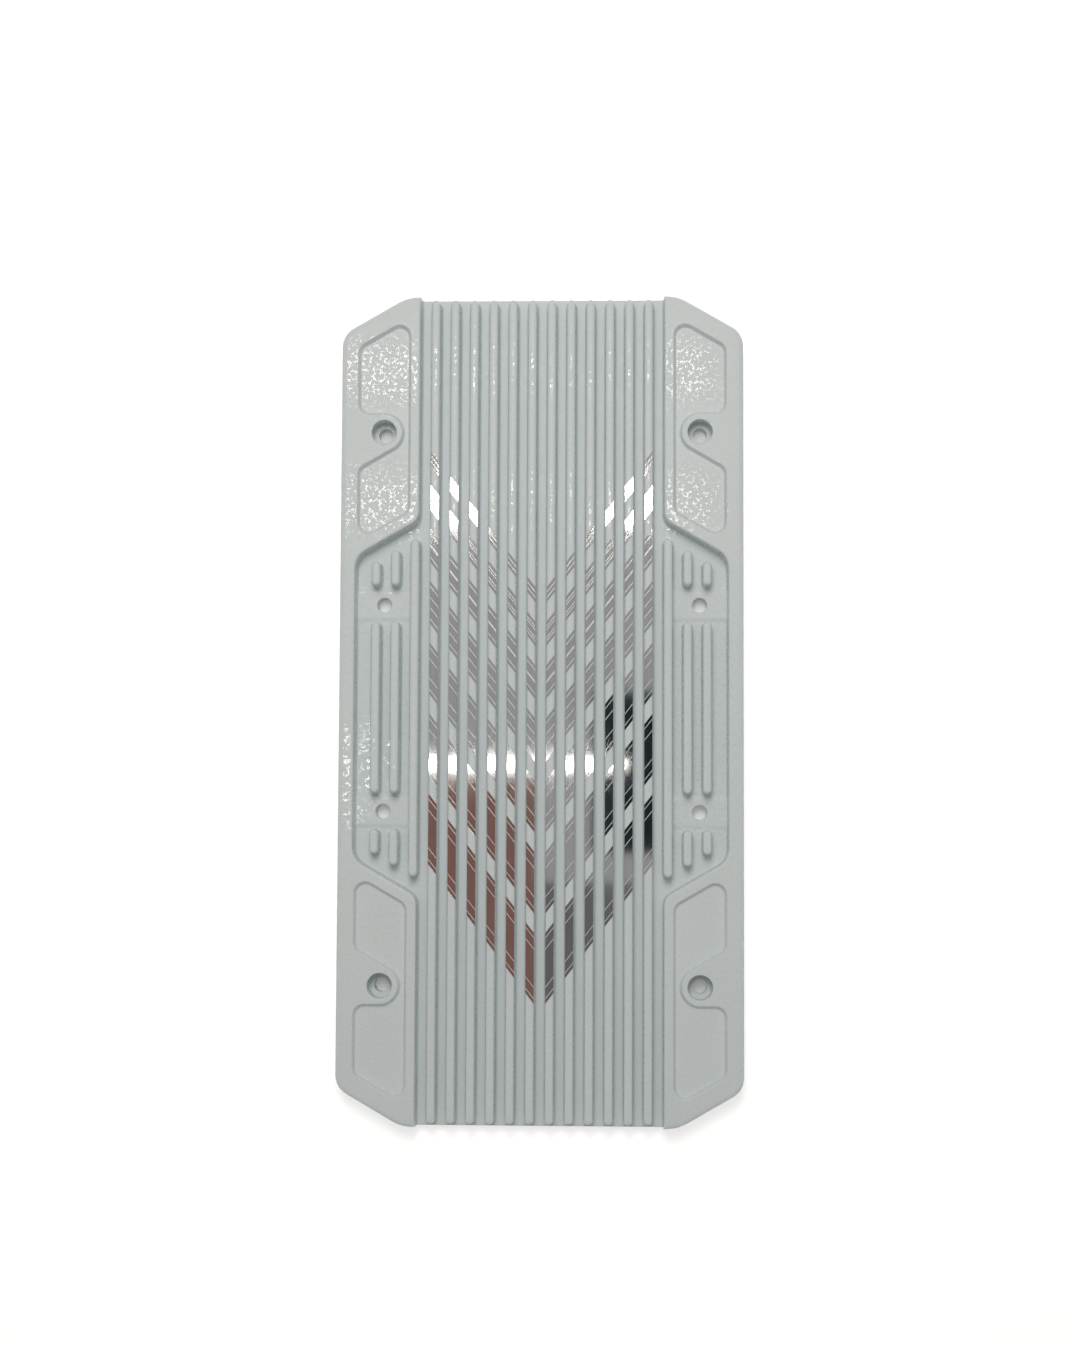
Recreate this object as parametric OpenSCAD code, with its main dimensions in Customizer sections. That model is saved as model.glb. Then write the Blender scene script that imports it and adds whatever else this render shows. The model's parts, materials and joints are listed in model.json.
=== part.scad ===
// Ribbed aluminium heat sink plate, cast in one piece and powder coated.
// The back lies on z = 0, the ribs run along y, and the plate is centred in x and y.

/* [Plate] */
// Overall width, across the ribs
plate_w = 98; // [80:0.5:130]
// Overall length, along the ribs
plate_l = 201.4; // [180:0.2:300]
// Thickness of the base under the ribs
base_t = 4; // [3:0.1:10]
// Height of ribs, corner blocks and side rims above the base
relief_h = 5.2; // [5:0.1:12]
// Width of each cut corner, measured across the plate
corner_cut = 16; // [14:0.1:17.5]
// Slope of the cut corners and of the slanted block ends, in degrees
slant = 30; // [26:0.5:34]
// Corner radius where a cut corner meets a long side
side_corner_r = 5.4; // [3:0.1:8]
// Corner radius where a cut corner meets a short end
end_corner_r = 10; // [4:0.5:12]
// Rounding of the outer top edge
edge_r = 1.2; // [0.4:0.1:1.6]
// Rounding of the base's edge at both ends of the ribbed channel
lip_r = 0.3; // [0.2:0.05:0.8]

/* [Channel and side recesses] */
// Length of a corner block along the plate's side
block_l = 64; // [54:0.5:75]
// Width of the rim along each side recess
side_rim_w = 3.7; // [3:0.1:5]
// Corner radius between a side rim and a slanted block end
recess_corner_r = 5; // [2:0.1:7]
// Corner radius of a block where the channel meets its slanted end
block_corner_r = 3.6; // [1.5:0.1:5]
// Draft of the upright walls, in degrees
wall_draft = 2; // [0.5:0.5:5]
// Rounding along the top of the channel and recess walls
wall_top_r = 0.6; // [0.2:0.05:0.8]
// Fillet along the foot of the channel and recess walls
wall_root_r = 0.5; // [0.2:0.05:0.7]

/* [Ribs] */
// Distance between rib centres
rib_pitch = 4.73; // [4.6:0.01:5]
// Width of a rib below its rounded crest
rib_w = 2.2; // [1.8:0.05:2.4]
// Rounding of the crest's edges
crest_r = 0.85; // [0.3:0.05:0.85]
// Fillet along the foot of a rib
rib_root_r = 0.45; // [0.2:0.05:0.5]
// Draft of a rib's sides, in degrees
rib_draft = 1.5; // [0.5:0.5:3]
// Least distance between a rib's side and the wall beside it
rib_clear = 2; // [1:0.1:2.4]
// Distance from a long rib's end to the plate's end
rib_inset = 0.9; // [0.9:0.1:3]
// Distance from a side rib's end to the slanted block end, along the rib
side_rib_inset = 4.2; // [3:0.1:6]
// Length of the break in the outer side ribs at each side screw hole
screw_break = 8.8; // [7:0.1:12]
// Height of the raised land around each side screw hole
land_h = 0.3; // [0.2:0.05:0.8]
// Length of that land at its foot, along the ribs
land_l = 8.6; // [6:0.1:11]
// Length of the ramp at each end of that land
land_ramp = 1.2; // [0.3:0.1:1.5]

/* [Corner pockets] */
// Depth of the pocket in each corner block
pocket_depth = 1.5; // [0.8:0.1:3]
// Width of the pocket's wall, which eases from its mouth into its floor in an S
pocket_wall_w = 0.9; // [0.4:0.1:1]
// Rim between the pocket and the plate's side
pocket_side_rim = 3.9; // [3.5:0.1:4.5]
// Rim between the pocket and the cut corner
pocket_corner_rim = 4.6; // [3:0.1:6]
// Rim between the pocket and the channel
pocket_channel_rim = 2.1; // [1.5:0.1:2.2]
// Rim between the pocket and the slanted block end
pocket_slant_rim = 2.6; // [1.5:0.1:4]
// Corner radius at the mouth of the pocket
pocket_corner_r = 3; // [2:0.1:3.5]
// Diameter of the boss around each corner screw, at its top
boss_d = 8.4; // [7.4:0.1:9.6]
// Space between that boss and the wall of the pocket on the channel's side
passage_w = 2.4; // [2:0.1:4]

/* [Screw holes] */
// Distance from the plate's side to the screw holes
screw_side = 10.5; // [9:0.1:13]
// Distance from the plate's end to the corner screw holes
corner_screw_end = 33.6; // [29:0.1:39]
// Distance from a corner block's end, at the rim, to the side screw hole beside it
side_screw_end = 11.5; // [10:0.1:14]
// Diameter of the screw holes
screw_d = 3.5; // [2.5:0.1:4]
// Diameter of the counterbore for a corner screw's head
head_d = 6; // [5:0.1:6.6]
// Depth of the counterbore
head_depth = 5.1; // [2:0.1:6]
// Rounding at the mouth of each screw hole
mouth_r = 0.3; // [0.1:0.05:0.4]

/* [Milled pattern] */
// Number of nested V bands milled across the long ribs
bands = 7; // [2:1:8]
// Depth of the milling below the crests
mill_depth = 0.4; // [0.2:0.05:0.6]
// Distance from the plate's centre down to the lowest band's point
band_low = 73; // [60:0.5:80]
// Height of the lowest band
band_first = 17; // [10:0.1:18]
// Height of the highest band
band_last = 3.8; // [2:0.1:8]
// Space between bands
band_gap = 4.6; // [3:0.1:6]
// Rise of the bands for each millimetre across
band_rise = 1.3; // [0.6:0.05:1.5]

/* [Hidden] */
paint = [0.76, 0.78, 0.76];

// Steps in a rounded corner seen from above, in a small rounding or fillet, and in a hole's mouth
corner_steps = 6;
edge_steps = 4;
mouth_steps = 2;
// How far a piece reaches into what carries it, and a cut past what it opens
sink = 0.8;
over = 2;
// A fillet dips this far below the face that it runs out on
dip = 0.04;
hole_fn = 64;

top_z = base_t + relief_h;
half_w = plate_w / 2;
half_l = plate_l / 2;
block_w = screw_side + boss_d / 2 + passage_w + pocket_channel_rim;
channel_x = half_w - block_w;
recess_x = half_w - side_rim_w;
recess_end = half_l - block_l;
screw_x = half_w - screw_side;
corner_screw_y = half_l - corner_screw_end;
side_screw_y = recess_end - side_screw_end;
across = 90 - slant;

// Distance from the centre to the cut corner's face, and to the slanted end of a block
cut_face = across_distance([half_w - corner_cut, half_l]);
block_face = across_distance([recess_x, recess_end]);

// Long ribs on each side of the centre line, and side ribs in each side recess
half_ribs = floor((channel_x - rib_clear - rib_w / 2) / rib_pitch + 0.5);
side_ribs = floor((recess_x - rib_clear - rib_w / 2) / rib_pitch + 0.5) - half_ribs;

// Distance of a point from the centre, measured square to the slanted faces
function across_distance(p) = p[0] * cos(across) + p[1] * sin(across);

// Where two lines cross: each is the angle of its normal and its distance from the origin
function crossing(a, b) = let (turn = sin(b[0] - a[0]))
    [(a[1] * sin(b[0]) - b[1] * sin(a[0])) / turn, (b[1] * cos(a[0]) - a[1] * cos(b[0])) / turn];

// An outline is a list of [normal angle, distance, radius of the corner after it], anticlockwise.
// A negative radius is an inside corner. Each point comes with the direction square to the outline.
function outline(sides, steps) = [
    for (i = [0 : len(sides) - 1])
        let (a = sides[i], b = sides[(i + 1) % len(sides)], r = a[2],
             turn = r > 0 ? (b[0] - a[0] + 720) % 360 : -((a[0] - b[0] + 720) % 360),
             c = crossing([a[0], a[1] - r], [b[0], b[1] - r]))
        for (k = [0 : steps]) let (t = a[0] + turn * k / steps, n = [cos(t), sin(t)])
            [c[0] + r * n[0], c[1] + r * n[1], n[0], n[1]]];

function flat_points(sides, steps) = [for (p = outline(sides, steps)) [p[0], p[1]]];

// Twice the area of the triangle a, b, c: positive where it turns left
function turn(a, b, c) = (b[0] - a[0]) * (c[1] - a[1]) - (b[1] - a[1]) * (c[0] - a[0]);

function covers(a, b, c, p) = turn(a, b, p) >= 0 && turn(b, c, p) >= 0 && turn(c, a, p) >= 0;

// Triangles that fill an outline: one empty corner after another is cut off it
function fill(p, left) = let (n = len(left)) n == 3 ? [left] : let (
        corners = [for (i = [0 : n - 1]) [left[(i + n - 1) % n], left[i], left[(i + 1) % n]]],
        free = [for (i = [0 : n - 1]) let (a = corners[i][0], b = corners[i][1], c = corners[i][2])
            if (turn(p[a], p[b], p[c]) > 0 && len([for (k = left)
                if (k != a && k != b && k != c && covers(p[a], p[b], p[c], p[k])) k]) == 0) i],
        ear = free[0])
    concat([corners[ear]], fill(p, [for (i = [0 : n - 1]) if (i != ear) left[i]]));

// Solid with one ring of points for each [offset, z] of its profile, from the bottom up
module skin(sides, steps, profile) {
    path = outline(sides, steps);
    n = len(path);
    last = len(profile) - 1;
    cap = fill(path, [for (i = [0 : n - 1]) i]);
    polyhedron(
        points = [for (s = profile, p = path) [p[0] + s[0] * p[2], p[1] + s[0] * p[3], s[1]]],
        faces = concat(
            cap,
            [for (k = [0 : last - 1], i = [0 : n - 1]) let (j = (i + 1) % n)
                [k * n + i, (k + 1) * n + i, (k + 1) * n + j, k * n + j]],
            [for (f = cap) [last * n + f[2], last * n + f[1], last * n + f[0]]]),
        convexity = 6);
}

// Profile points along a quarter round of radius r about [offset, z], from angle a to angle b
function round_edge(offset, z, r, a, b) = [
    for (k = [0 : edge_steps]) let (t = a + (b - a) * k / edge_steps)
        [offset + r * cos(t), z + r * sin(t)]];

function plate_sides() = [
    [0, half_w, side_corner_r], [across, cut_face, end_corner_r],
    [90, half_l, end_corner_r], [180 - across, cut_face, side_corner_r],
    [180, half_w, side_corner_r], [180 + across, cut_face, end_corner_r],
    [270, half_l, end_corner_r], [360 - across, cut_face, side_corner_r]];

// The channel, open at both ends, with a recess on each side
function recess_sides() = let (end = half_l + 2 * over, r = over / 2) [
    [0, recess_x, recess_corner_r], [across, block_face, -block_corner_r],
    [0, channel_x, r], [90, end, r], [180, channel_x, -block_corner_r],
    [180 - across, block_face, recess_corner_r],
    [180, recess_x, recess_corner_r], [180 + across, block_face, -block_corner_r],
    [180, channel_x, r], [270, end, r], [0, channel_x, -block_corner_r],
    [360 - across, block_face, recess_corner_r]];

// Mouth of the pocket in the block where x and y are positive, curling round the screw's boss
function pocket_sides() = let (
        side = half_w - pocket_side_rim, r = pocket_corner_r, boss = boss_d / 2,
        screw = [screw_x, corner_screw_y]) [
    [0, side, r], [across, cut_face - pocket_corner_rim, r],
    [180, -channel_x - pocket_channel_rim, r],
    [180 + across, -block_face - pocket_slant_rim, r],
    [0, side, r], [across, across_distance(screw) - boss, -boss],
    [270, -screw[1] - boss, r]];

module frame() {
    round_z = top_z - edge_r;
    foot = (relief_h - wall_top_r - wall_root_r) * tan(wall_draft);
    difference() {
        skin(plate_sides(), corner_steps, concat(
            [[0, base_t - sink]], round_edge(-edge_r, round_z, edge_r, 0, 90)));
        skin(recess_sides(), corner_steps, concat(
            [[-foot - wall_root_r, base_t - sink - over]],
            round_edge(-foot - wall_root_r, base_t + wall_root_r - dip, wall_root_r, -90, 0),
            round_edge(wall_top_r, top_z - wall_top_r, wall_top_r, 180, 90),
            [[wall_top_r, top_z + over]]));
        for (x = [0, 1], y = [0, 1]) mirror([x, 0, 0]) mirror([0, y, 0]) pocket();
    }
}

module pocket() {
    wall = [for (k = [0 : edge_steps]) let (s = k / edge_steps)
        [(s - 1) * pocket_wall_w, top_z - pocket_depth * (1 + cos(180 * s)) / 2]];
    skin(pocket_sides(), corner_steps, concat(wall, [[0, top_z + over]]));
}

module base() {
    difference() {
        linear_extrude(base_t) polygon(flat_points(plate_sides(), corner_steps));
        for (y = [0, 1]) mirror([0, y, 0]) channel_lip();
    }
}

// Cut that rounds the base's edge at the open end of the channel
module channel_lip() {
    length = 2 * (channel_x - wall_root_r);
    translate([-length / 2, half_l - lip_r, base_t - lip_r])
        rotate([90, 0, 90])
            linear_extrude(length)
                difference() {
                    square([lip_r + over, lip_r + over]);
                    circle(lip_r, $fn = hole_fn);
                }
}

// Points along an arc of radius r about c, from angle a to angle b
function arc(c, r, a, b, steps = edge_steps) = [
    for (k = [0 : steps]) let (t = a + (b - a) * k / steps)
        [c[0] + r * cos(t), c[1] + r * sin(t)]];

// Half the cross section of a rib that stands on z = 0, from its crest down
function half_rib() = let (
        lean = rib_w / 2 * cos(rib_draft) + (relief_h - crest_r) * sin(rib_draft),
        crest = crossing([rib_draft, lean - crest_r], [90, relief_h - crest_r]),
        root = crossing([rib_draft, lean + rib_root_r], [90, rib_root_r - dip]))
    concat([[0, relief_h]], arc(crest, crest_r, 90, rib_draft),
           arc(root, rib_root_r, 180 + rib_draft, 270), [[root[0], -sink], [0, -sink]]);

// A rib on the base from y = low to y = high, with its ends turned round its own section
module rib(x, low, high) {
    half = half_rib();
    whole = concat(half, [for (i = [len(half) - 1 : -1 : 0]) [-half[i][0], half[i][1]]]);
    r = rib_w / 2;
    translate([x, high - r, base_t]) {
        rotate([90, 0, 0]) linear_extrude(high - low - rib_w) polygon(whole);
        rotate_extrude(angle = 180) polygon(half);
    }
    translate([x, low + r, base_t]) rotate(180) rotate_extrude(angle = 180) polygon(half);
}

module long_ribs() {
    end = half_l - rib_inset;
    difference() {
        for (i = [0.5 - half_ribs : half_ribs - 0.5]) rib(i * rib_pitch, -end, end);
        for (i = [0 : bands - 1]) milled_band(i);
    }
}

// Height of the V band with number i, counted from the lowest
function band_h(i) = band_first + (band_last - band_first) * i / (bands - 1);

// Where the point of band i lies: above all the lower bands and the spaces between them
function band_y(i) = -band_low + i * (band_gap + (band_first + band_h(i - 1)) / 2);

module milled_band(i) {
    reach = half_ribs * rib_pitch;
    rise = reach * band_rise;
    low = band_y(i);
    high = low + band_h(i);
    translate([0, 0, top_z - mill_depth])
        linear_extrude(mill_depth + over)
            polygon([[0, low], [reach, low + rise], [reach, high + rise],
                     [0, high], [-reach, high + rise], [-reach, low + rise]]);
}

// Ribs beside the corner blocks: the inner one runs through, the others break at the screw holes
module side_rib_row() {
    near = side_screw_y - screw_break / 2;
    far = side_screw_y + screw_break / 2;
    for (i = [0 : side_ribs - 1]) {
        x = (half_ribs + 0.5 + i) * rib_pitch;
        end = (block_face - x * cos(across)) / sin(across) - side_rib_inset;
        if (i == 0) {
            rib(x, -end, end);
        } else {
            rib(x, -near, near);
            rib(x, far, end);
            rib(x, -end, -far);
        }
    }
}

// Raised land that runs from the inner side rib to the rim, with a ramp on both sides
module land() {
    x = (half_ribs + 0.5) * rib_pitch;
    translate([x, side_screw_y, base_t])
        rotate([90, 0, 90])
            linear_extrude(recess_x + sink - x)
                polygon([[-land_l / 2, -sink], [land_l / 2, -sink], [land_l / 2, 0],
                         [land_l / 2 - land_ramp, land_h], [land_ramp - land_l / 2, land_h],
                         [-land_l / 2, 0]]);
}

module screw_holes() {
    for (x = [-1, 1], y = [-1, 1]) {
        translate([x * screw_x, y * corner_screw_y, 0]) {
            translate([0, 0, -over]) cylinder(top_z + 2 * over, d = screw_d, $fn = hole_fn);
            translate([0, 0, top_z - head_depth])
                cylinder(head_depth + over, d = head_d, $fn = hole_fn);
            mouth(head_d / 2, top_z);
        }
        translate([x * screw_x, y * side_screw_y, 0]) {
            translate([0, 0, -over]) cylinder(top_z + 2 * over, d = screw_d, $fn = hole_fn);
            mouth(screw_d / 2, base_t + land_h);
        }
    }
}

// Cut that rounds the edge of a hole of radius r where it opens at height z
module mouth(r, z) {
    rotate_extrude($fn = hole_fn)
        polygon(concat(arc([r + mouth_r, z - mouth_r], mouth_r, 180, 90, mouth_steps),
                       [[r + mouth_r, z + over], [0, z + over], [0, z - mouth_r]]));
}

module heat_sink() {
    color(paint) difference() {
        union() {
            base();
            frame();
            long_ribs();
            for (x = [0, 1]) mirror([x, 0, 0]) {
                side_rib_row();
                for (y = [0, 1]) mirror([0, y, 0]) land();
            }
        }
        screw_holes();
    }
}

heat_sink();
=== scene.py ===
"""A ribbed heat sink plate, cast in aluminium, powder coated off-white and milled across its crests."""
import json
from math import radians

import bpy
import numpy as np
from mathutils import Matrix, Vector


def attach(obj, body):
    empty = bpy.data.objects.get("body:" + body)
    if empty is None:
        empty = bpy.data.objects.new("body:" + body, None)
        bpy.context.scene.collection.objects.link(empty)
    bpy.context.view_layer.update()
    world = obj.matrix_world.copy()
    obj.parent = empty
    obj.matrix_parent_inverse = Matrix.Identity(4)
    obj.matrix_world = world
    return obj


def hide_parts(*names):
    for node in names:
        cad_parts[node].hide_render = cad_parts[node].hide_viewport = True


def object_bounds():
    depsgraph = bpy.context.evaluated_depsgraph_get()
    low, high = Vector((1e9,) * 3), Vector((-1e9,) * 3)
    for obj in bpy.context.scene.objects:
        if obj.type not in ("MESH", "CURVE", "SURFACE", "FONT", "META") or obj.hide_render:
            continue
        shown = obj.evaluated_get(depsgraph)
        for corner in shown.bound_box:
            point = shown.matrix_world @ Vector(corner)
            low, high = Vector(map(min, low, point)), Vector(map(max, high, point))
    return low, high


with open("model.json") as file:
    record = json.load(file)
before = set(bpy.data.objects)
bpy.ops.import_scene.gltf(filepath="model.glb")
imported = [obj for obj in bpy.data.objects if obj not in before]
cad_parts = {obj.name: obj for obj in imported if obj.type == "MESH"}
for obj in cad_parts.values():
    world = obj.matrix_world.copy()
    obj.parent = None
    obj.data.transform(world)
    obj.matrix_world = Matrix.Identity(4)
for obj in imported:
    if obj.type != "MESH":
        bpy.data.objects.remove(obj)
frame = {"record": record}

MM = 0.001
cad_low, cad_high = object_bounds()

# Sizes of the casting in millimetres. The box and the screw places come from the frame.
plate_w, plate_l, total_h = [round((cad_high[i] - cad_low[i]) / MM, 3) for i in range(3)]
mounts = {m["name"]: m["dims"] for m in frame["record"]["mounts"]}
screw_x = mounts["corner_screws"]["spacing_x_mm"] / 2
corner_screw_y = mounts["corner_screws"]["spacing_y_mm"] / 2
side_screw_y = mounts["side_screws"]["spacing_y_mm"] / 2
screw_r = mounts["corner_screws"]["hole_r_mm"]

base_t = 4.0
relief_h = total_h - base_t
corner_cut, slant, side_corner_r, end_corner_r = 16.0, 30.0, 5.4, 10.0
edge_r, foot_r, lip_r = 1.2, 0.3, 0.3
block_l, side_rim_w, recess_corner_r, block_corner_r = 64.0, 3.7, 5.0, 3.6
wall_draft, wall_top_r, wall_root_r = 2.0, 0.6, 0.5
rib_pitch, rib_w, crest_r, rib_root_r, rib_draft = 4.73, 2.2, 0.85, 0.45, 1.5
rib_clear, rib_inset, side_rib_inset, screw_break = 2.0, 0.9, 4.2, 8.8
land_h, land_l, land_ramp = 0.3, 8.6, 1.2
pocket_depth, pocket_wall_w, pocket_corner_r = 1.5, 0.9, 3.0
pocket_side_rim, pocket_corner_rim, pocket_channel_rim, pocket_slant_rim = 3.9, 4.6, 2.1, 2.6
boss_r, passage_w = 4.2, 2.4
head_r, head_depth, mouth_r = 3.0, 5.1, 0.3
bands, mill_depth, shim = 7, 0.4, 0.1
band_low, band_first, band_last, band_gap, band_rise = 73.0, 17.0, 3.8, 4.6, 1.3

half_w, half_l = plate_w / 2, plate_l / 2
screw_side = half_w - screw_x
channel_x = half_w - (screw_side + boss_r + passage_w + pocket_channel_rim)
recess_x, recess_end = half_w - side_rim_w, half_l - block_l
half_ribs = int((channel_x - rib_clear - rib_w / 2) / rib_pitch + 0.5)
side_ribs = int((recess_x - rib_clear - rib_w / 2) / rib_pitch + 0.5) - half_ribs
across = 90 - slant
# How far a cut runs past what it cuts, and how deep what is joined on runs into the base.
over, sunk, dip = 2.0, 1.0, 0.02


def square_distance(x, y):
    """Distance from the centre, measured square to the slanted faces."""
    return x * np.cos(radians(across)) + y * np.sin(radians(across))


cut_face = square_distance(half_w - corner_cut, half_l)
block_face = square_distance(recess_x, recess_end)


def crossing(a, b):
    """Where two lines cross, each given as the angle of its normal and its distance from the origin."""
    (ta, da), (tb, db) = (radians(a[0]), a[1]), (radians(b[0]), b[1])
    turn = np.sin(tb - ta)
    return np.array([da * np.sin(tb) - db * np.sin(ta), db * np.cos(ta) - da * np.cos(tb)]) / turn


def outline(sides, step=6.0):
    """Points and normals of a closed outline of straight sides and corner arcs, anticlockwise.

    A side is (normal angle, distance, radius of the corner after it), and a negative radius is
    an inside corner. A corner's centre is where its two sides cross once moved in by the radius,
    and the arc has a point about every `step` degrees.
    """
    points, normals = [], []
    for a, b in zip(sides, sides[1:] + sides[:1]):
        r = a[2]
        turn = (b[0] - a[0]) % 360 if r > 0 else -((a[0] - b[0]) % 360)
        centre = crossing((a[0], a[1] - r), (b[0], b[1] - r))
        t = np.radians(a[0] + turn * np.linspace(0, 1, int(np.ceil(abs(turn) / step)) + 1))
        n = np.stack([np.cos(t), np.sin(t)], 1)
        points.append(centre + r * n)
        normals.append(n)
    return np.concatenate(points), np.concatenate(normals)


def quarter(offset, z, r, start, end, steps):
    """Profile points along a round of radius r about (offset, z), from start to end in degrees."""
    t = np.radians(np.linspace(start, end, steps + 1))
    return np.stack([offset + r * np.cos(t), z + r * np.sin(t)], 1)


class Solid:
    """Vertices in millimetres and faces of one closed surface, or of several that don't meet."""

    def __init__(self, points=(), faces=()):
        self.points = np.array(points, float).reshape(-1, 3)
        self.faces = [list(f) for f in faces]

    def add(self, other):
        start = len(self.points)
        self.points = np.concatenate([self.points, other.points])
        self.faces += [[i + start for i in f] for f in other.faces]
        return self

    def mirrored(self, x=1, y=1):
        """The solid turned over in x, y or both, with its faces turned back outwards."""
        faces = self.faces if x * y > 0 else [f[::-1] for f in self.faces]
        return Solid(self.points * [x, y, 1], faces)

    def mesh(self, name):
        data = bpy.data.meshes.new(name)
        data.from_pydata((self.points * MM).tolist(), [], self.faces)
        data.validate()
        obj = bpy.data.objects.new(name, data)
        bpy.context.scene.collection.objects.link(obj)
        return obj


def rings(grid):
    """Closed solid through rows of points: row k joins row k + 1, and both ends get a flat cap."""
    k, n = grid.shape[:2]
    i = np.arange(n)
    j = (i + 1) % n
    low = np.arange(k - 1)[:, None] * n
    quads = np.stack([low + i, low + j, low + n + j, low + n + i], -1).reshape(-1, 4)
    caps = [list(range(n - 1, -1, -1)), list(range((k - 1) * n, k * n))]
    return Solid(grid.reshape(-1, 3), quads.tolist() + caps)


def skin(sides, profile):
    """The outline carried up its profile: each ring is the outline moved out by offset, at height z."""
    points, normals = outline(sides)
    profile = np.array(profile, float)
    flat = points[None] + profile[:, 0, None, None] * normals[None]
    z = np.broadcast_to(profile[:, 1, None, None], flat.shape[:2] + (1,))
    return rings(np.concatenate([flat, z], 2))


def plate_sides():
    """The plate's outline: a long rectangle with cut corners."""
    quarter_turn = [(0, half_w, side_corner_r), (across, cut_face, end_corner_r),
                    (90, half_l, end_corner_r), (180 - across, cut_face, side_corner_r)]
    return quarter_turn + [(180 + a, d, r) for a, d, r in quarter_turn]


def recess_sides():
    """The channel, open at both ends, with a recess on each side."""
    end, r = half_l + 2 * over, over / 2
    half = [(0, recess_x, recess_corner_r), (across, block_face, -block_corner_r),
            (0, channel_x, r), (90, end, r), (180, channel_x, -block_corner_r),
            (180 - across, block_face, recess_corner_r)]
    return half + [(180 + a, d, r) for a, d, r in half]


def pocket_sides():
    """Mouth of the pocket in the block where x and y are positive, curling round the screw's boss."""
    side, r = half_w - pocket_side_rim, pocket_corner_r
    return [(0, side, r), (across, cut_face - pocket_corner_rim, r),
            (180, -channel_x - pocket_channel_rim, r),
            (180 + across, -block_face - pocket_slant_rim, r), (0, side, r),
            (across, square_distance(screw_x, corner_screw_y) - boss_r, -boss_r),
            (270, -corner_screw_y - boss_r, r)]


def plate():
    """The whole plate before it is cut: a small round at the back's edge and a large one on top."""
    return skin(plate_sides(), np.concatenate([
        quarter(-foot_r, foot_r, foot_r, -90, 0, 3),
        quarter(-edge_r, total_h - edge_r, edge_r, 0, 90, 8)]))


def recess_cut():
    """Cut for the channel and side recesses: a filleted foot, drafted walls and a rounded top edge."""
    lean = (relief_h - wall_top_r - wall_root_r) * np.tan(radians(wall_draft))
    return skin(recess_sides(), np.concatenate([
        quarter(-lean - wall_root_r, base_t + wall_root_r, wall_root_r, -90, 0, 6),
        quarter(wall_top_r, total_h - wall_top_r, wall_top_r, 180, 90, 6),
        [(wall_top_r, total_h + over)]]))


def pocket_cut():
    """Cut for one corner pocket: its wall rises in an S, so mouth and foot are both rounded."""
    s = np.linspace(0, 1, 17)
    wall = np.stack([(s - 1) * pocket_wall_w, total_h - pocket_depth * (1 + np.cos(np.pi * s)) / 2], 1)
    return skin(pocket_sides(), np.concatenate([wall, [(0, total_h + over)]]))


def half_rib():
    """Half a rib's section as (x, z) from its crest down: rounded crest, leaning side, fillet."""
    lean = rib_w / 2 * np.cos(radians(rib_draft)) + (relief_h - crest_r) * np.sin(radians(rib_draft))
    crest = crossing((rib_draft, lean - crest_r), (90, relief_h - crest_r))
    root = crossing((rib_draft, lean + rib_root_r), (90, rib_root_r - dip))
    return np.concatenate([
        [(0, relief_h)], quarter(*crest, crest_r, 90, rib_draft, 8),
        quarter(*root, rib_root_r, 180 + rib_draft, 270, 6), [(root[0], -sunk)]])


def rib(x, low, high, steps=12):
    """A rib from y = low to y = high: its section turned half round at each end, straight between."""
    section = half_rib()
    t = np.radians(np.concatenate([np.linspace(0, 180, steps + 1), np.linspace(180, 360, steps + 1)]))
    middle = np.where(np.arange(len(t)) <= steps, high - rib_w / 2, low + rib_w / 2)
    ring_x = x + section[:, 0, None] * np.cos(t)
    ring_y = middle + section[:, 0, None] * np.sin(t)
    z = np.broadcast_to(base_t + section[:, 1, None], ring_x.shape)
    grid = np.stack([ring_x, ring_y, z], 2)[::-1]
    crest_line = np.unique(grid[-1].round(9), axis=0)
    body = rings(grid[:-1])
    body.faces.pop()
    n, top = grid.shape[1], (grid.shape[0] - 2) * grid.shape[1]
    start = len(body.points)
    body.points = np.concatenate([body.points, crest_line[np.argsort(-crest_line[:, 1])]])
    body.faces += [[top + i, top + i + 1, start] for i in range(steps)]
    body.faces += [[top + steps, top + steps + 1, start + 1, start]]
    body.faces += [[top + i, top + i + 1, start + 1] for i in range(steps + 1, n - 1)]
    body.faces += [[top + n - 1, top, start, start + 1]]
    return body


def long_ribs():
    """The ribs that run from end to end of the channel."""
    end = half_l - rib_inset
    out = Solid()
    for i in range(2 * half_ribs):
        out.add(rib((i + 0.5 - half_ribs) * rib_pitch, -end, end))
    return out


def side_rib_row():
    """The ribs of both side recesses: the inner one runs through, the others break at the screws."""
    near, far = side_screw_y - screw_break / 2, side_screw_y + screw_break / 2
    out = Solid()
    for i in range(side_ribs):
        x = (half_ribs + 0.5 + i) * rib_pitch
        end = (block_face - x * np.cos(radians(across))) / np.sin(radians(across)) - side_rib_inset
        for low, high in [(-end, end)] if i == 0 else [(-near, near), (far, end), (-end, -far)]:
            piece = rib(x, low, high)
            out.add(piece).add(piece.mirrored(x=-1))
    return out


def band_edges(i):
    """Lowest and highest y of V band i on the centre line: the bands stack up with even spaces."""
    height = [band_first + (band_last - band_first) * k / (bands - 1) for k in range(bands)]
    low = -band_low + i * band_gap + sum(height[:i])
    return low, low + height[i]


def band_cut(i, bottom, top):
    """V band i as a solid from bottom to top: its two arms rise to both sides at one slope."""
    low, high = band_edges(i)
    reach = half_ribs * rib_pitch
    x = np.array([0, reach, reach, 0, -reach, -reach])
    y = np.array([low, low, high, high, high, low]) + np.abs(x) * band_rise
    z = np.array([bottom, top])
    grid = np.stack(np.broadcast_arrays(x[None], y[None], z[:, None]), 2)
    return rings(grid)


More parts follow.
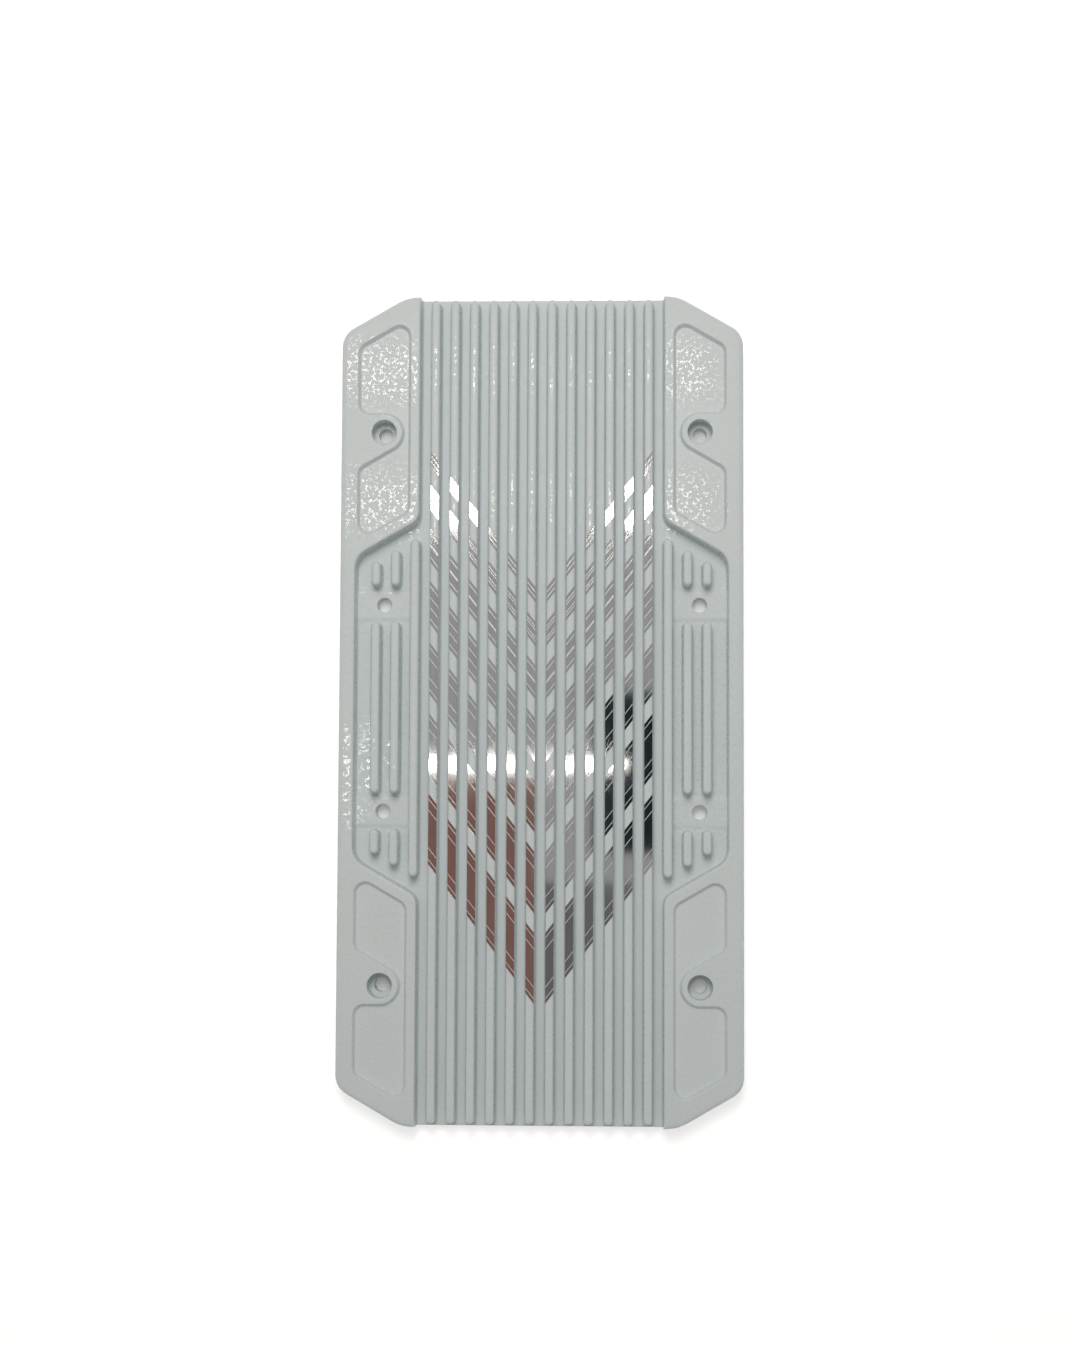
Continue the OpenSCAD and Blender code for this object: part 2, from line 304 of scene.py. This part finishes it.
def lands():
    """The raised lands at the side screws: bars across the recess whose edges ease down in an S."""
    s = np.linspace(-1, 1, 9)
    ease = (s + np.sin(np.pi * s) / np.pi + 1) / 2
    ramp = land_l / 2 + land_ramp / 4 - land_ramp * 1.5 * (s + 1) / 2
    half = np.stack([ramp, land_h * ease], 1)
    half[0, 1] = -dip
    section = np.concatenate([
        [(half[0, 0], -sunk)], half, half[::-1] * [-1, 1], [(-half[0, 0], -sunk)]])
    into_rim = 0.8
    x = np.array([(half_ribs + 0.5) * rib_pitch, recess_x + into_rim])
    grid = np.stack(np.broadcast_arrays(
        x[:, None], side_screw_y + section[None, :, 0], base_t + section[None, :, 1]), 2)
    return everywhere(rings(grid))


def turned(x, y, profile, steps=48):
    """A solid of revolution about the upright line at x, y, through profile points (radius, z)."""
    t = np.arange(steps) * 2 * np.pi / steps
    profile = np.array(profile, float)
    grid = np.stack(np.broadcast_arrays(
        x + profile[:, 0, None] * np.cos(t), y + profile[:, 0, None] * np.sin(t),
        profile[:, 1, None]), 2)
    return rings(grid)


def mouth(r, z, edge):
    """Profile of a hole of radius r that opens at height z with a rounded edge."""
    return np.concatenate([quarter(r + edge, z - edge, edge, 180, 90, 5), [(r + edge, z + over)]])


def screw_cuts():
    """Cuts for the four counterbored corner screws and the four plain side screws."""
    floor = total_h - head_depth
    bore = [(screw_r, -over), (screw_r, floor), (head_r, floor)]
    corner = turned(screw_x, corner_screw_y, np.concatenate([bore, mouth(head_r, total_h, mouth_r)]))
    side = turned(screw_x, side_screw_y, np.concatenate(
        [[(screw_r, -over)], mouth(screw_r, base_t + land_h, mouth_r)]))
    return everywhere(corner.add(side))


def lip_cuts():
    """Cuts that round the base's edge at both ends of the channel."""
    x = np.array([-1, 1]) * (channel_x - wall_root_r)
    edge = quarter(half_l - lip_r, base_t - lip_r, lip_r, 90, 0, 6)
    above = base_t + 0.2
    section = np.concatenate([edge, [(half_l + over, base_t - lip_r), (half_l + over, above),
                                     (half_l - lip_r, above)]])[::-1]
    grid = np.stack(np.broadcast_arrays(x[:, None], section[None, :, 0], section[None, :, 1]), 2)
    bar = rings(grid[::-1])
    return Solid().add(bar).add(bar.mirrored(y=-1))


def combined(obj, tool, operation):
    """The object's mesh with the tool's cut away, joined on or kept in common; the tool goes."""
    step = obj.modifiers.new("step", "BOOLEAN")
    step.operation, step.object, step.solver = operation, tool, "EXACT"
    graph = bpy.context.evaluated_depsgraph_get()
    data = bpy.data.meshes.new_from_object(obj.evaluated_get(graph))
    obj.modifiers.clear()
    old, obj.data = obj.data, data
    bpy.data.meshes.remove(old)
    bpy.data.objects.remove(tool)
    return obj


def smooth(obj, angle=28):
    """Rounds shade smooth, corners sharper than the angle stay crisp, and flats stay flat."""
    obj.data.shade_smooth()
    obj.data.set_sharp_from_angle(angle=radians(angle))
    even = obj.modifiers.new("even", "WEIGHTED_NORMAL")
    even.keep_sharp, even.mode = True, "FACE_AREA"
    return obj


def everywhere(solid):
    """The solid in all four quarters of the plate."""
    out = Solid()
    for sx in (1, -1):
        for sy in (1, -1):
            out.add(solid.mirrored(sx, sy))
    return out


def casting():
    """The whole painted casting as one closed surface, with the crests cut a shim deeper."""
    ribs = long_ribs().mesh("ribs")
    for i in range(bands):
        cut = band_cut(i, total_h - mill_depth - shim, total_h + over)
        combined(ribs, cut.mesh("tool"), "DIFFERENCE")
    obj = plate().mesh("casting")
    for cut in (recess_cut(), lip_cuts(), everywhere(pocket_cut())):
        combined(obj, cut.mesh("tool"), "DIFFERENCE")
    combined(obj, ribs, "UNION")
    combined(obj, side_rib_row().mesh("tool"), "UNION")
    combined(obj, lands().mesh("tool"), "UNION")
    combined(obj, screw_cuts().mesh("tool"), "DIFFERENCE")
    return smooth(obj)


def milled_crests():
    """The bare flats on the crests: the top shim of each milled stretch of a rib, one closed slab each.

    Each vertex keeps its place on its band as a vector: along the arm, and in from the low and the
    high edge, in millimetres square to the edges.
    """
    flat = total_h - mill_depth
    pieces = Solid()
    for i in range(bands):
        band = band_cut(i, flat - shim, flat).mesh("tool")
        part = combined(long_ribs().mesh("milled"), band, "INTERSECT")
        xyz = np.empty(3 * len(part.data.vertices))
        part.data.vertices.foreach_get("co", xyz)
        pieces.add(Solid(xyz.reshape(-1, 3) / MM, [list(p.vertices) for p in part.data.polygons]))
        bpy.data.objects.remove(part)
    obj = pieces.mesh("milled_crests")
    x, y = pieces.points[:, 0], pieces.points[:, 1]
    slope = np.hypot(1, band_rise)
    across_arm = (y - np.abs(x) * band_rise) / slope
    edges = np.array([band_edges(i) for i in range(bands)]) / slope
    own = np.argmin(np.abs(across_arm[:, None] - edges.mean(1)) - np.diff(edges)[:, 0] / 2, 1)
    lay = np.stack([(np.abs(x) + y * band_rise) / slope, across_arm - edges[own, 0],
                    edges[own, 1] - across_arm], 1)
    obj.data.attributes.new("lay", "FLOAT_VECTOR", "POINT").data.foreach_set("vector", lay.ravel())
    return smooth(obj)


class Value:
    """One output of a node; arithmetic on it adds Math nodes."""

    def __init__(self, paint, socket):
        self.paint, self.socket = paint, socket

    def math(self, operation, *others):
        return self.paint.node("ShaderNodeMath", {"operation": operation},
                               dict(enumerate((self,) + others)))

    def __add__(self, other):
        return self.math("ADD", other)

    def __rsub__(self, other):
        return self.paint.node("ShaderNodeMath", {"operation": "SUBTRACT"}, {0: other, 1: self})

    def __mul__(self, other):
        return self.math("MULTIPLY", other)

    __radd__, __rmul__ = __add__, __mul__

    def within(self, low, high):
        """0 up to low, 1 from high on, and a soft step between; low may be the larger."""
        if low > high:
            return 1 - self.within(high, low)
        return self.paint.node("ShaderNodeMapRange", {"interpolation_type": "SMOOTHSTEP"},
                               {"Value": self, "From Min": low, "From Max": high})


class Finish:
    """The node tree of a material or of the world, built from expressions."""

    def __init__(self, name, owner=None):
        self.material = owner or bpy.data.materials.new(name)
        self.material.use_nodes = True
        self.tree = self.material.node_tree
        self.tree.nodes.clear()

    def node(self, kind, settings=None, inputs=None, output=0):
        """One node: its settings come first, then its sockets' values or links."""
        made = self.tree.nodes.new(kind)
        for name, value in (settings or {}).items():
            setattr(made, name, value)
        for name, value in (inputs or {}).items():
            if isinstance(value, Value):
                self.tree.links.new(value.socket, made.inputs[name])
            else:
                made.inputs[name].default_value = value
        return Value(self, made.outputs[output])

    def place(self):
        """Object coordinates, in metres."""
        return self.node("ShaderNodeTexCoord", output="Object")

    def ray(self, kind):
        """1 for rays of that kind, and 0 for others."""
        return self.node("ShaderNodeLightPath", None, None, "Is " + kind + " Ray")

    def axis(self, vector, i):
        return self.node("ShaderNodeSeparateXYZ", None, {0: vector}, i)

    def noise(self, vector, size, detail=2.0, rough=0.5):
        """Noise whose blobs are about `size` across, in the vector's unit."""
        return self.node("ShaderNodeTexNoise", None,
                         {"Vector": vector, "Scale": 1 / size, "Detail": detail, "Roughness": rough})

    def blend(self, amount, a, b):
        """Colour a where amount is 0, and b where it is 1."""
        mix = self.node("ShaderNodeMix", {"data_type": "RGBA"}, None, 2)
        made = mix.socket.node
        for slot, value in ((0, amount), (6, a), (7, b)):
            if isinstance(value, Value):
                self.tree.links.new(value.socket, made.inputs[slot])
            else:
                made.inputs[slot].default_value = (*value, 1) if slot else value
        return mix

    def bump(self, height, distance, below=None):
        """Relief from a height of 0 to 1 that stands for `distance` metres."""
        inputs = {"Height": height, "Distance": distance}
        if below is not None:
            inputs["Normal"] = below
        return self.node("ShaderNodeBump", None, inputs)

    def surface(self, **inputs):
        shader = self.node("ShaderNodeBsdfPrincipled", None,
                           {name.replace("_", " "): value for name, value in inputs.items()})
        self.node_out(shader)
        return self.material

    def node_out(self, shader, kind="Material"):
        out = self.tree.nodes.new("ShaderNodeOutput" + kind)
        self.tree.links.new(shader.socket, out.inputs[0])


def powder_coat():
    """White powder coat: gloss in beads about half a millimetre across, duller between the ribs."""
    f = Finish("powder_coat")
    at = f.place()
    mottle = f.noise(at, 22 * MM, 3)
    speck = f.noise(at, 0.5 * MM, 2)
    tone = mottle.within(0.3, 0.7) * 0.6 + speck.within(0.25, 0.75) * 0.4
    colour = f.blend(tone, (0.690, 0.744, 0.763), (0.715, 0.771, 0.791))
    peel = f.noise(at, 0.85 * MM, 1.0, 0.4)
    grain = f.noise(at, 0.36 * MM, 1.5, 0.5)
    relief = f.bump(peel, 0.006 * MM)
    relief = f.bump(grain, 0.0008 * MM, relief)
    rough = 0.34 + 0.06 * f.noise(at, 3 * MM, 2)
    in_channel = f.axis(at, 0).math("ABSOLUTE").within(0.031, 0.029)
    deep = f.axis(at, 2).within((base_t + 2.5) * MM, (base_t + 1) * MM)
    dulled = 0.9 * (in_channel * deep)
    beads = peel.within(0.50, 0.66) * (1 - dulled)
    return f.surface(Base_Color=colour, Roughness=rough, Normal=relief, IOR=1.5,
                     Coat_Weight=beads, Coat_Roughness=0.085, Coat_IOR=1.6)


def milled_aluminium():
    """Bare milled aluminium, almost a mirror: faint streaks along the ribs, thin bright tool lines."""
    f = Finish("milled_aluminium")
    at = f.place()
    lay = f.node("ShaderNodeAttribute", {"attribute_name": "lay"}, None, "Vector")
    low, high = f.axis(lay, 1), f.axis(lay, 2)
    x, y, z = (f.axis(at, i) for i in range(3))
    streak_at = f.node("ShaderNodeCombineXYZ", None, {0: x, 1: y * 0.04, 2: z})
    streak = f.noise(streak_at, 0.30 * MM, 3, 0.6)
    blotch = f.noise(at, 6 * MM, 3)
    grain = f.noise(at, 0.18 * MM, 1)

    def line(distance, centre, width):
        return distance.within(centre - width, centre) * distance.within(centre + width, centre)

    width, outer, inner = 0.09, 0.75, 2.4
    lines = line(low, outer, width) + line(low, inner, width) + (
        line(high, outer, width) + line(high, inner, width))
    tone = streak.within(0.3, 0.7) * 0.5 + blotch.within(0.3, 0.7) * 0.3 + grain * 0.2
    colour = f.blend(tone, (0.72, 0.73, 0.73), (0.86, 0.86, 0.85))
    relief = f.bump(streak, 0.0004 * MM)
    relief = f.bump(grain, 0.0002 * MM, relief)
    rough = 0.03 + 0.03 * blotch + lines * 0.5
    bare = f.node("ShaderNodeBsdfPrincipled", None, {
        "Base Color": colour, "Metallic": 1.0, "Roughness": rough, "Normal": relief})
    cut = f.node("ShaderNodeBsdfPrincipled", None, {
        "Base Color": (0.95, 0.95, 0.95, 1), "Metallic": 0.2, "Roughness": 0.4})
    f.node_out(f.node("ShaderNodeMixShader", None, {0: lines * 0.8, 1: bare, 2: cut}))
    return f.material


def dress(obj, material):
    obj.data.materials.clear()
    obj.data.materials.append(material)
    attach(obj, "root")


def camera():
    """The camera stands where the photo was taken from, and looks almost straight down."""
    data = bpy.data.cameras.new("camera")
    data.lens = 61.53
    data.sensor_width = 36
    data.clip_end = 10
    obj = bpy.data.objects.new("camera", data)
    bpy.context.scene.collection.objects.link(obj)
    axis = Vector((-3.91591, -2.12781, -0.17767))
    turn = Matrix.Rotation(radians(axis.length), 4, axis.normalized()).inverted()
    place = Vector((20.584, -30.262, 556.044 + total_h)) * MM
    obj.matrix_world = Matrix.Translation(place) @ turn
    bpy.context.scene.camera = obj


def sheet(name, x, y, z, wide, long, material):
    """A flat stage card facing down, or up when its height is zero."""
    corners = np.array([[-1, -1], [1, -1], [1, 1], [-1, 1]]) * [wide / 2, long / 2] + [x, y]
    points = np.column_stack([corners, np.full(4, z)])
    data = bpy.data.meshes.new(name)
    data.from_pydata(points.tolist(), [], [[0, 1, 2, 3] if z == 0 else [3, 2, 1, 0]])
    obj = bpy.data.objects.new(name, data)
    bpy.context.scene.collection.objects.link(obj)
    data.materials.append(material)
    return obj


# What sees the stage as white; all other light from the world is dim.
seen_rays = ("Camera", "Glossy", "Transmission")


def floor_paint():
    """White table: it takes the shadow, and a glow of its own lifts it to white, reflected or not.

    The glow is faint under the plate, a painted shade on the floor seen through the holes, stronger
    clear of it, and full far away.
    """
    f = Finish("floor")
    white = f.node("ShaderNodeBsdfDiffuse", None, {"Color": (0.86, 0.86, 0.86, 1)})
    seen = sum(f.ray(kind) for kind in seen_rays)
    at = f.place()
    x, y = (f.axis(at, i).math("ABSOLUTE") for i in range(2))
    square = square_distance(1, 0) * x + square_distance(0, 1) * y
    under, out = 0.97 * MM, 0.99 * MM
    beside, beyond, corner = (
        distance.within(under * side, out * side)
        for distance, side in ((x, half_w), (y, half_l), (square, cut_face)))
    clear = beside.math("MAXIMUM", beyond).math("MAXIMUM", corner)
    far = f.node("ShaderNodeVectorMath", {"operation": "LENGTH"}, {0: at}, "Value").within(0.35, 1.6)
    # Faint glow under the plate: painted shade on the floor seen through the holes.
    strength = seen * (0.15 + 0.40 * clear + 0.45 * far)
    glow = f.node("ShaderNodeEmission", None, {"Color": (1, 1, 1, 1), "Strength": strength})
    f.node_out(f.node("ShaderNodeAddShader", None, {0: white, 1: glow}))
    return f.material


def glow_paint(name, colour):
    f = Finish(name)
    f.node_out(f.node("ShaderNodeEmission", None, {"Color": (*colour, 1)}))
    return f.material


def card(name, x, y, colour, z=0.60):
    """A dim card above the camera, seen only as a reflection, over x and y ranges in metres."""
    obj = sheet(name, sum(x) / 2, sum(y) / 2, z, x[1] - x[0], y[1] - y[0], glow_paint(name, colour))
    obj.visible_camera = obj.visible_diffuse = obj.visible_shadow = False


def lamp(name, place, size, glow, colour=(1, 0.965, 0.905)):
    """A soft rectangular lamp that shines straight down; glow is its brightness as seen."""
    data = bpy.data.lights.new(name, "AREA")
    data.shape, data.size, data.size_y = "RECTANGLE", *size
    data.energy, data.color = glow * 4 * size[0] * size[1], colour
    obj = bpy.data.objects.new(name, data)
    bpy.context.scene.collection.objects.link(obj)
    obj.location = place
    return obj


def light():
    """Soft light from overhead, dim light all round, and bright bars that the gloss mirrors."""
    world = bpy.data.worlds.new("world")
    bpy.context.scene.world = world
    f = Finish("world", world)
    colour = (0.28, 0.275, 0.262)
    for kind in reversed(seen_rays):
        colour = f.blend(f.ray(kind), colour, (1, 1, 1))
    f.node_out(f.node("ShaderNodeBackground", None, {"Color": colour}), "World")
    key = lamp("overhead", (0.0, 0.30, 0.75), (0.24, 0.42), 5.95)
    key.visible_glossy = False
    bar_x, bar_z, half_space, size = -0.03, 0.565, 0.0063, (0.18, 0.007)
    for side in (-half_space, half_space):
        lamp("far_bar", (bar_x, 0.195 + side, bar_z), size, 14)
        lamp("near_bar", (bar_x, 0.130 + side, bar_z), size, 13)
    lamp("side_bar", (-0.115, -0.003, 0.565), (0.010, 0.046), 14)
    lamp("low_bar", (-0.035, 0.003, 0.575), (0.11, 0.003), 10)
    card("ceiling", (-0.60, 0.60), (-0.60, 0.60), (0.33, 0.33, 0.33), 0.62)
    card("dark_card", (0.004, 0.090), (-0.040, 0.040), (0.012, 0.016, 0.022))
    card("brown_card", (-0.100, -0.022), (-0.115, -0.004), (0.20, 0.105, 0.09))
    card("grey_card", (-0.022, 0.030), (-0.125, -0.055), (0.13, 0.13, 0.13))


camera()
body = casting()
dress(body, powder_coat())
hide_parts("heat_sink")
dress(milled_crests(), milled_aluminium())
sheet("floor", 0, 0, 0, 6, 6, floor_paint())
light()
bpy.context.scene.view_settings.view_transform = "Standard"
